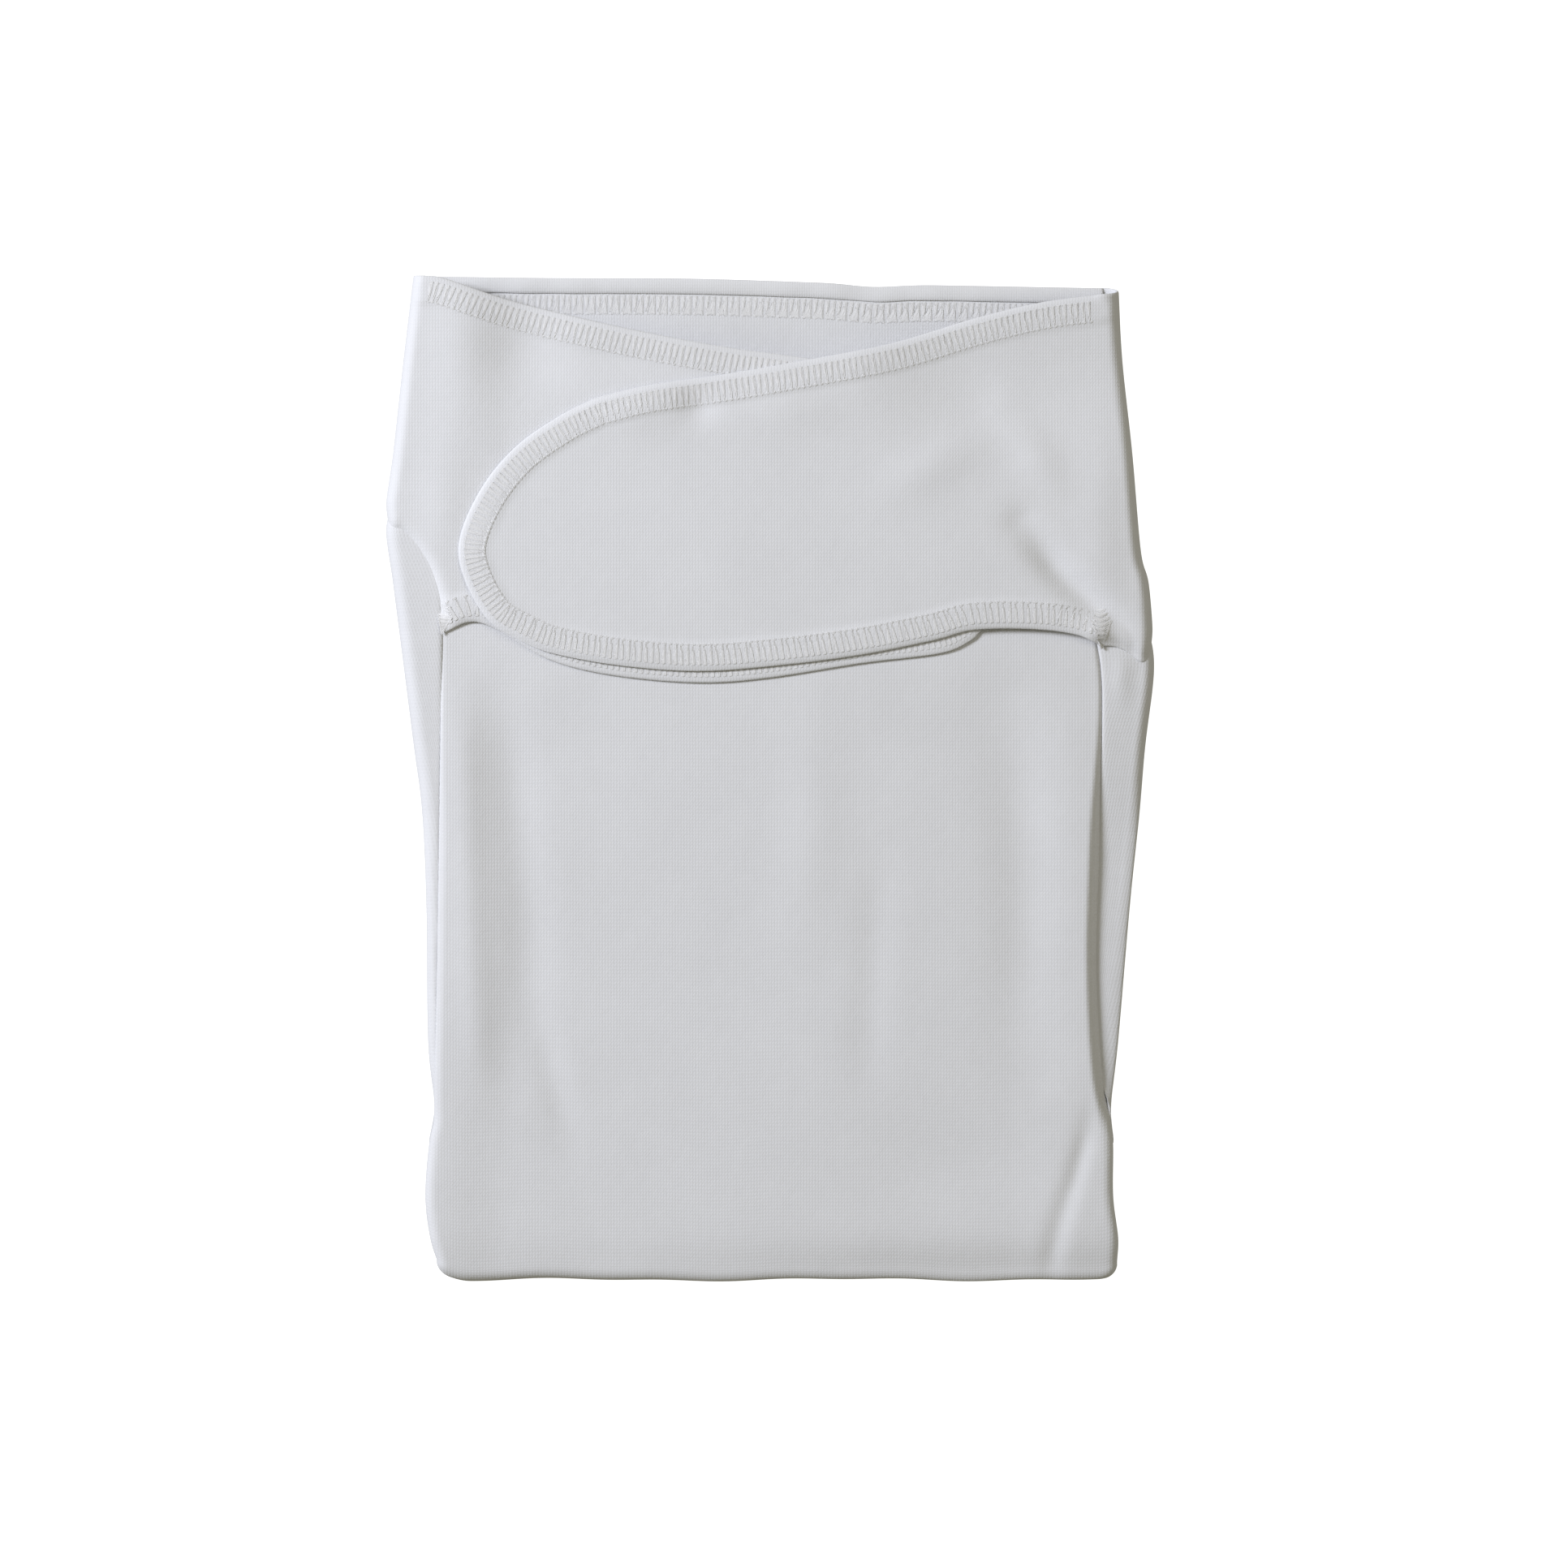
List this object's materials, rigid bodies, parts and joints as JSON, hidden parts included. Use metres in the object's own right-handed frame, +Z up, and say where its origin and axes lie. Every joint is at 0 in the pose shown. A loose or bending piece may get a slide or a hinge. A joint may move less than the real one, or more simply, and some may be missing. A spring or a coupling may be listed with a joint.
{
  "type": "infant swaddle wrap",
  "caption": "Cotton knit infant swaddle wrap lying closed: a sewn leg pouch, round-ended wings crossed over the chest, the foot end turned up behind.",
  "frame": {"origin": "middle of the bounding box's underside, on the surface it lies on", "axes": "+Z up out of the chest side, +Y towards the neckline, +X across towards the over wing's fold"},
  "size_m": [0.294, 0.3845, 0.0159],
  "materials": {
    "knit_body": "white interlock cotton knit, matte",
    "knit_wing": "white interlock cotton knit, matte",
    "rib_hem": "turned and stitched cotton hem, matte",
    "overlock_thread": "ecru polyester overlock thread, slight sheen",
    "hook_tape": "white nylon hook tape",
    "loop_tape": "white brushed loop tape",
    "label_satin": "blank white satin ribbon"
  },
  "bodies": {
    "sack": {"back_panel": "knit_body", "neck_binding": "rib_hem", "neck_overlock": "overlock_thread", "pouch_front": "knit_body", "pouch_mouth_hem": "rib_hem", "left_pouch_side": "knit_body", "right_pouch_side": "knit_body", "left_side_seam": "overlock_thread", "right_side_seam": "overlock_thread", "care_label": "label_satin", "left_side_fold": "knit_wing", "right_side_fold": "knit_wing", "foot_fold": "knit_body"},
    "right_wing": {"right_wing": "knit_wing", "right_wing_overlock": "overlock_thread", "right_corner_tack": "overlock_thread", "hook_tape": "hook_tape"},
    "left_wing": {"left_wing": "knit_wing", "left_wing_overlock": "overlock_thread", "left_corner_tack": "overlock_thread", "loop_tape": "loop_tape"},
    "foot_end": {"tail_back": "knit_body", "tail_front": "knit_body", "foot_seam": "overlock_thread"}
  },
  "joints": [
    {"name": "right_wing_fold", "type": "hinge", "parent": "sack", "child": "right_wing", "pos_m": [0.13945, 0.052, 0.00755], "axis": [-0.1032, 0.9947, 0], "range_deg": [0, 180], "deforming": ["right_side_fold"]},
    {"name": "left_wing_fold", "type": "hinge", "parent": "sack", "child": "left_wing", "pos_m": [-0.1409, 0.058, 0.0061], "axis": [-0.0818, -0.9966, 0], "range_deg": [0, 27], "deforming": ["left_side_fold"]},
    {"name": "foot_end_fold", "type": "hinge", "parent": "sack", "child": "foot_end", "pos_m": [0, -0.1867, 0.00285], "axis": [-1, 0, 0], "range_deg": [0, 180], "deforming": ["foot_fold"]}
  ],
  "couplings": [
    {"joint": "left_wing_fold", "follows": "right_wing_fold", "ratio": 0.15}
  ]
}
